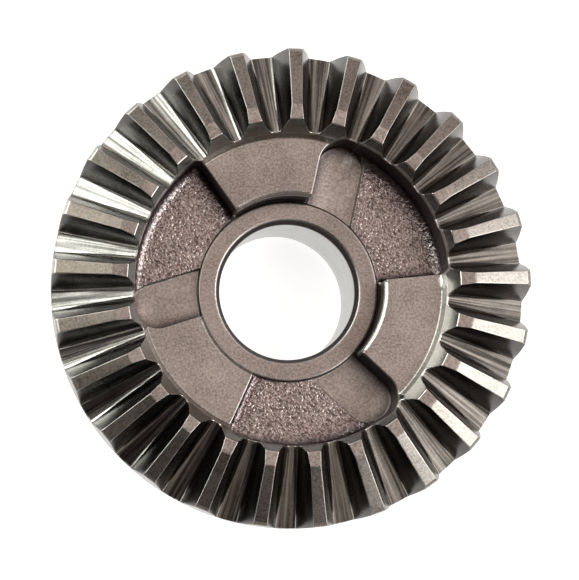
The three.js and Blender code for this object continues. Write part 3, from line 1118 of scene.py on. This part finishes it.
def gear_finishes():
    """The gear's finishes, in the order of the face numbers from the ground face to the tips. The
    flanks, walls and tips are darkened as painted shade, and the sunk floors darken towards their
    walls as painted shade.
    """
    return [
        metal("gear_ground_face", (0.22, 0.205, 0.193), (0.48, 0.447, 0.423), (0.28, 0.39),
              grain=2.4, patches=0.12, bump=0.02, wear_and_sheen=0.12, corner_shade=0.92),
        metal("gear_forged", (0.12, 0.095, 0.096), (0.36, 0.315, 0.308), (0.17, 0.27),
              grain=2.2, patches=0.3, bump=0.13, detail=1.0, corner_shade=0.85),
        # Near-black flanks, as painted shade.
        metal("gear_flank_painted_shade", (0.055, 0.05, 0.047), (0.085, 0.08, 0.075), (0.22, 0.3),
              grain=2.5, patches=0.2, bump=0.0, streaks=(3.0, 0.15, 0.2)),
        metal("gear_turned", (0.2, 0.19, 0.18), (0.36, 0.34, 0.32), (0.28, 0.4),
              grain=4.0, patches=0.15, bump=0.008, streaks=(0.1, 4.0, 4.0)),
        metal("gear_toe", (0.26, 0.248, 0.232), (0.42, 0.4, 0.375), (0.13, 0.21),
              grain=2.4, patches=0.15, bump=0.002),
        metal("gear_root", (0.1, 0.094, 0.087), (0.46, 0.433, 0.405), (0.16, 0.28),
              grain=2.6, patches=0.2, bump=0.05, streaks=(3.2, 0.03, 0.03), spread=0.1),
        # Near-black walls and bore chamfer, as painted shade.
        metal("gear_wall_painted_shade", (0.02, 0.014, 0.015), (0.07, 0.052, 0.054), (0.4, 0.6),
              grain=2.4, patches=0.3, bump=0.02),
        # A darker copy of the ground face for the tips, as painted shade.
        metal("gear_tip_painted_shade", (0.15, 0.138, 0.126), (0.33, 0.308, 0.286), (0.25, 0.35),
              grain=2.6, patches=0.12, bump=0.01),
    ]


def of_vertices(mesh, what):
    values = np.empty(len(mesh.vertices) * 3)
    mesh.vertices.foreach_get(what, values)
    return values.reshape(-1, 3)


def store(mesh, name, values):
    mesh.attributes.new(name, "FLOAT", "POINT").data.foreach_set("value", values)


def mark_worn_and_lit_edges(mesh):
    """Stores where edges are lightened, as wear and painted highlight: 1 on the rounds of outward
    edges, 0 elsewhere.
    """
    work = bmesh.new()
    work.from_mesh(mesh)
    wear_and_sheen = np.zeros(len(work.verts), np.float32)
    for edge in work.edges:
        outward = len(edge.link_faces) == 2 and edge.is_convex
        if outward and edge.calc_face_angle(0) > LEAST_EDGE_BEND:
            for vert in edge.verts:
                wear_and_sheen[vert.index] = 1
    work.free()
    store(mesh, "edge_wear_and_sheen", wear_and_sheen)


def mark_shaded_corners(mesh):
    """Stores how near each vertex of the sunk floor is to its walls, where painted shade darkens
    it.
    """
    points = of_vertices(mesh, "co") / MM
    flat, z = points[:, :2], points[:, 2]
    low = in_void(flat) & (z < POCKET_FLOOR + OUTER_FILLET) & (z > SLOT_FLOOR - 0.1)
    low &= np.hypot(*flat.T) > COLLAR_RADIUS
    corner_shade = np.zeros(len(points), np.float32)
    gap = distance_from(dog_outline(), flat[low])
    corner_shade[low] = (1 - smooth_step(gap, 0.1, CORNER_SHADE_REACH)) ** 2
    store(mesh, "painted_corner_shade", corner_shade)


# ---- the forged grain ----


def roughen(mesh):
    """Gives the forged faces the lumps that the forging's scale leaves, as real relief."""
    points, normals = of_vertices(mesh, "co"), of_vertices(mesh, "normal")
    forged, other = np.zeros(len(points), bool), np.zeros(len(points), bool)
    for polygon in mesh.polygons:
        marks = forged if polygon.material_index == FORGED else other
        marks[list(polygon.vertices)] = True
    for i in np.flatnonzero(forged & ~other):
        place = Vector(points[i]) / MM
        lump = sum(noise.noise(place * fineness) * share for fineness, share in LUMPS)
        points[i] += normals[i] * (FORGED_RELIEF * lump * MM)
    mesh.vertices.foreach_set("co", points.ravel())
    mesh.update()


# ---- putting it together ----


def put(piece, body, node):
    link(piece)
    mark_worn_and_lit_edges(piece.data)
    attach(piece, body)
    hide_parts(node)


def build_gear():
    mesh = gear_mesh(gear_finishes())
    roughen(mesh)
    mark_shaded_corners(mesh)
    piece = bpy.data.objects.new("bevel_gear_forging", mesh)
    put(piece, "gear", "bevel_gear")


def build_bearing():
    bush_metal = metal("bush_metal", (0.44, 0.437, 0.425), (0.66, 0.655, 0.64), (0.3, 0.42),
                       grain=5.0, patches=0.2, bump=0.006, streaks=(0.15, 3.0, 5.0))
    ring_steel = metal("ring_steel", (0.36, 0.365, 0.38), (0.56, 0.57, 0.59), (0.14, 0.26),
                       grain=6.0, patches=0.2, bump=0.003, streaks=(0.15, 5.0, 7.0))
    roller_steel = metal("roller_steel", (0.6, 0.61, 0.63), (0.8, 0.81, 0.83), (0.08, 0.16),
                         grain=5.0, patches=0.4, bump=0.002)
    cage_steel = metal("cage_steel", (0.3, 0.29, 0.28), (0.5, 0.49, 0.48), (0.36, 0.5),
                       grain=3.5, patches=0.5, bump=0.02)
    put(bush([bush_metal]), "gear", "bore_bush")
    put(inner_ring([ring_steel]), "gear", "inner_ring")
    put(outer_ring([ring_steel]), "outer_ring", "outer_ring")
    put(cage([cage_steel]), "cage", "roller_cage")
    rollers([roller_steel])


# ---- the table, the light and the camera ----

TABLE_REACH = 3.0
TABLE_DROP = 0.0002
TABLE_GREY = 0.6
TABLE_GLOW = 0.8

# The surround's colour, then the round patch of light overhead: its azimuth, its elevation, and
# how far from its middle it ends and begins to fade, in degrees, and its colour.
SURROUND = (0.36, 0.31, 0.28)
OVERHEAD = (42, 67, 27, 18, (0.95, 0.755, 0.685))

# The lit and dark panels round the table: the middle's azimuth and half the width, the lowest and
# highest elevation and the softness of the edges, in degrees, and the colour.
PANELS = [
    (-12, 42, 10, 36, 9, (0.95, 0.88, 0.82)),
    (-6, 33, 35, 64, 6, (6.5, 6.4, 6.2)),
    (149, 37, -6, 41, 6, (1.7, 1.78, 1.7)),
    (149, 44, -8, 9, 4, (1.2, 1.25, 1.2)),
    (150, 37, 13, 25, 5, (9.5, 10.2, 9.8)),
    (158, 16, 50, 68, 8, (3.6, 3.4, 2.9)),
    (96, 24, 8, 58, 8, (0.75, 0.67, 0.62)),
    (272, 33, 10, 46, 7, (0.34, 0.3, 0.255)),
    (275, 36, 48, 78, 8, (0.06, 0.045, 0.04)),
    (222, 28, 8, 76, 9, (0.05, 0.04, 0.04)),
]


def table():
    """A white table that glows a little, just under the part."""
    mesh = bpy.data.meshes.new("table")
    far = TABLE_REACH
    corners = [(-far, -far, 0), (far, -far, 0), (far, far, 0), (-far, far, 0)]
    mesh.from_pydata(corners, [], [(0, 1, 2, 3)])
    table_top = bpy.data.objects.new("table", mesh)
    table_top.location.z = cad_low.z - TABLE_DROP
    link(table_top)
    white = bpy.data.materials.new("table_white")
    white.use_nodes = True
    shader = white.node_tree.nodes["Principled BSDF"]
    shader.inputs["Base Color"].default_value = (TABLE_GREY, TABLE_GREY, TABLE_GREY, 1)
    shader.inputs["Emission Color"].default_value = (1, 1, 1, 1)
    shader.inputs["Emission Strength"].default_value = TABLE_GLOW
    mesh.materials.append(white)


def cosine(degrees):
    return math.cos(rad(degrees))


def sine(degrees):
    return math.sin(rad(degrees))


def facing(tree, direction, toward):
    """The cosine of the angle between two directions."""
    inputs = {0: direction, 1: toward}
    made = add(tree, "ShaderNodeVectorMath", inputs, operation="DOT_PRODUCT")
    return made.outputs["Value"]


def surround():
    """The light: a dim surround with a brighter patch overhead, and lit and dark panels."""
    world = bpy.data.worlds.new("surround")
    bpy.context.scene.world = world
    world.use_nodes = True
    tree = world.node_tree
    direction = add(tree, "ShaderNodeTexCoord").outputs["Generated"]
    parts = add(tree, "ShaderNodeSeparateXYZ", {0: direction}).outputs
    level = add(tree, "ShaderNodeCombineXYZ", {0: parts[0], 1: parts[1]}).outputs[0]
    way = add(tree, "ShaderNodeVectorMath", {0: level}, operation="NORMALIZE").outputs[0]
    shade = SURROUND
    for azimuth, half, low, high, soft, colour in PANELS:
        near = facing(tree, way, (cosine(azimuth), sine(azimuth), 0))
        across = ranged(tree, near, 0, 1, cosine(half + soft), cosine(half - soft))
        over = ranged(tree, parts[2], 0, 1, sine(low - soft), sine(low + soft))
        under = ranged(tree, parts[2], 1, 0, sine(high - soft), sine(high + soft))
        share = times(tree, across, times(tree, over, under))
        shade = blend(tree, share, shade, colour)
    azimuth, elevation, outer, inner, colour = OVERHEAD
    flat = cosine(elevation)
    toward = (flat * cosine(azimuth), flat * sine(azimuth), sine(elevation))
    near = facing(tree, direction, toward)
    share = ranged(tree, near, 0, 1, cosine(outer), cosine(inner))
    shade = blend(tree, share, shade, colour)
    tree.links.new(shade, tree.nodes["Background"].inputs["Color"])


# The camera: how far and which way it leans from straight above, its lens, the point it looks at
# in millimetres, and its distance in metres.
CAMERA_LEAN = rad(9)
CAMERA_WAY = rad(222.1)
FOCAL_LENGTH = 280.5
SENSOR_WIDTH = 36
CAMERA_ASIDE = (0.5, 0.45)
TARGET_Z = 20.7
CAMERA_DISTANCE = 0.851


def camera():
    """Almost straight above the teeth, leaning towards the front left."""
    lens = bpy.data.cameras.new("camera")
    lens.sensor_width = SENSOR_WIDTH
    lens.lens = FOCAL_LENGTH
    view = bpy.data.objects.new("camera", lens)
    out = math.sin(CAMERA_LEAN)
    back = Vector((out * math.cos(CAMERA_WAY), out * math.sin(CAMERA_WAY), math.cos(CAMERA_LEAN)))
    view.rotation_mode = "QUATERNION"
    view.rotation_quaternion = Vector((0, 0, 1)).rotation_difference(back)
    shift = view.rotation_quaternion @ Vector((*CAMERA_ASIDE, 0)) * MM
    view.location = Vector((0, 0, TARGET_Z * MM)) + shift + back * CAMERA_DISTANCE
    link(view)
    bpy.context.scene.camera = view
    bpy.context.scene.view_settings.view_transform = "Standard"


camera()
table()
surround()
build_gear()
build_bearing()
